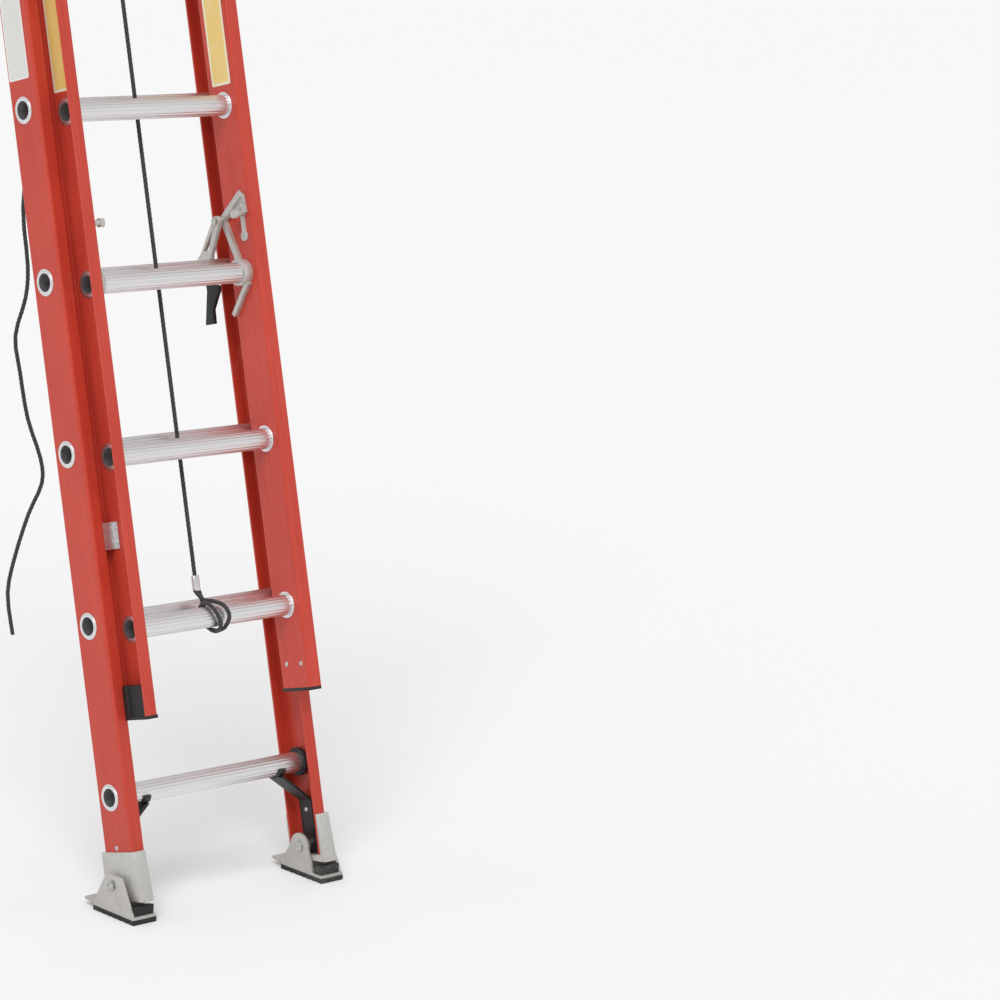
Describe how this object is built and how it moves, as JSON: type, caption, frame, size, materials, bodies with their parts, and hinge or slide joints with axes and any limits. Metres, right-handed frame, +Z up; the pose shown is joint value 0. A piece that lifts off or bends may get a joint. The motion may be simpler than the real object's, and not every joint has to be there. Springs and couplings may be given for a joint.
{
  "type": "extension ladder",
  "caption": "Two-section extension ladder with fibreglass rails, round rungs, rung locks, rope and pulley, and swivel feet, leaning at its working angle.",
  "frame": {"origin": "on the floor, midway between the two feet, under the middle of the rails' lower ends", "axes": "+X to the climber's right as they face the ladder, +Y from the climber's side to the wall side, +Z up; the rails lean 14.5 degrees from +Z towards +Y"},
  "size_m": [0.49, 0.7241, 2.7324],
  "materials": {
    "base_fibreglass": "pultruded glass-reinforced polyester, red, satin gloss with faint lengthways fibres",
    "fly_fibreglass": "the same fibreglass as the base rails",
    "rung_aluminium": "bright extruded tube with fine lengthways ribs",
    "cast_aluminium": "cast, light grey, slightly rough",
    "bright_aluminium": "plain bright sheet",
    "zinc_steel": "zinc plated",
    "black_steel": "black painted strap",
    "black_plastic": "moulded black nylon",
    "pad_rubber": "ribbed tread rubber",
    "rope": "black three-strand laid rope"
  },
  "bodies": {
    "base_section": {"base_rail_left": "base_fibreglass", "base_rail_right": "base_fibreglass", "base_rung_1": "rung_aluminium", "base_rung_2": "rung_aluminium", "base_rung_3": "rung_aluminium", "base_rung_4": "rung_aluminium", "base_rung_5": "rung_aluminium", "base_rung_6": "rung_aluminium", "base_rung_7": "rung_aluminium", "base_rung_8": "rung_aluminium", "base_swages": "rung_aluminium", "boot_left": "cast_aluminium", "boot_right": "cast_aluminium", "foot_bolts": "zinc_steel", "foot_nuts": "zinc_steel", "foot_spacers": "zinc_steel", "brace_left": "black_steel", "brace_right": "black_steel", "brace_rivets": "zinc_steel", "base_top_caps": "black_plastic", "base_top_guides": "bright_aluminium", "guide_rivets": "zinc_steel", "brace_collars": "black_plastic", "pulley_bracket": "zinc_steel", "pulley_clamp": "zinc_steel", "pulley_axle": "zinc_steel", "rope_run": "rope", "rope_tail": "rope"},
    "fly_section": {"fly_rail_left": "fly_fibreglass", "fly_rail_right": "fly_fibreglass", "fly_rung_1": "rung_aluminium", "fly_rung_2": "rung_aluminium", "fly_rung_3": "rung_aluminium", "fly_rung_4": "rung_aluminium", "fly_rung_5": "rung_aluminium", "fly_rung_6": "rung_aluminium", "fly_rung_7": "rung_aluminium", "fly_rung_8": "rung_aluminium", "fly_swages": "rung_aluminium", "fly_guide_left": "black_plastic", "fly_guide_right": "black_plastic", "fly_top_caps": "black_plastic", "fly_guide_rivets": "zinc_steel", "rail_clips": "bright_aluminium", "lock_bracket_left": "cast_aluminium", "lock_bracket_right": "cast_aluminium", "lock_pins": "zinc_steel", "lock_rivets": "zinc_steel", "lock_springs": "zinc_steel", "rope_eye": "rope", "rope_ferrule": "bright_aluminium"},
    "hook_left": {"lock_hook_left": "cast_aluminium"},
    "hook_right": {"lock_hook_right": "cast_aluminium"},
    "flipper_left": {"lock_flipper_left": "black_plastic"},
    "flipper_right": {"lock_flipper_right": "black_plastic"},
    "pulley": {"pulley_wheel": "black_plastic"},
    "foot_left": {"shoe_left": "cast_aluminium", "pad_left": "pad_rubber"},
    "foot_right": {"shoe_right": "cast_aluminium", "pad_right": "pad_rubber"}
  },
  "joints": [
    {"name": "fly_slide", "type": "slide", "parent": "base_section", "child": "fly_section", "axis": [0, 0.2504, 0.9681], "range_m": [0, 1.3], "deforming": ["rope_run"]},
    {"name": "pulley_spin", "type": "hinge", "parent": "base_section", "child": "pulley", "pos_m": [0, 0.59025, 2.33032], "axis": [1, 0, 0], "continuous": true},
    {"name": "hook_left_lift", "type": "hinge", "parent": "fly_section", "child": "hook_left", "pos_m": [-0.1545, 0.26462, 1.18104], "axis": [1, 0, 0], "range_deg": [0, 45], "stiffness_Nm_per_rad": 0.15, "springref_deg": -17.19},
    {"name": "hook_right_lift", "type": "hinge", "parent": "fly_section", "child": "hook_right", "pos_m": [0.1545, 0.26462, 1.18104], "axis": [1, 0, 0], "range_deg": [0, 45], "stiffness_Nm_per_rad": 0.15, "springref_deg": -17.19},
    {"name": "flipper_left_swing", "type": "hinge", "parent": "hook_left", "child": "flipper_left", "pos_m": [-0.1545, 0.30977, 1.09603], "axis": [1, 0, 0], "range_deg": [0, 75], "stiffness_Nm_per_rad": 0.03, "springref_deg": -22.92},
    {"name": "flipper_right_swing", "type": "hinge", "parent": "hook_right", "child": "flipper_right", "pos_m": [0.1545, 0.30977, 1.09603], "axis": [1, 0, 0], "range_deg": [0, 75], "stiffness_Nm_per_rad": 0.03, "springref_deg": -22.92},
    {"name": "foot_left_pivot", "type": "hinge", "parent": "base_section", "child": "foot_left", "pos_m": [-0.2165, 0.00875, 0.05587], "axis": [1, 0, 0], "range_deg": [-6, 15]},
    {"name": "foot_right_pivot", "type": "hinge", "parent": "base_section", "child": "foot_right", "pos_m": [0.2165, 0.00875, 0.05587], "axis": [1, 0, 0], "range_deg": [-6, 15]}
  ],
  "couplings": [
    {"joint": "pulley_spin", "follows": "fly_slide", "rad_per_m": -33.333}
  ]
}
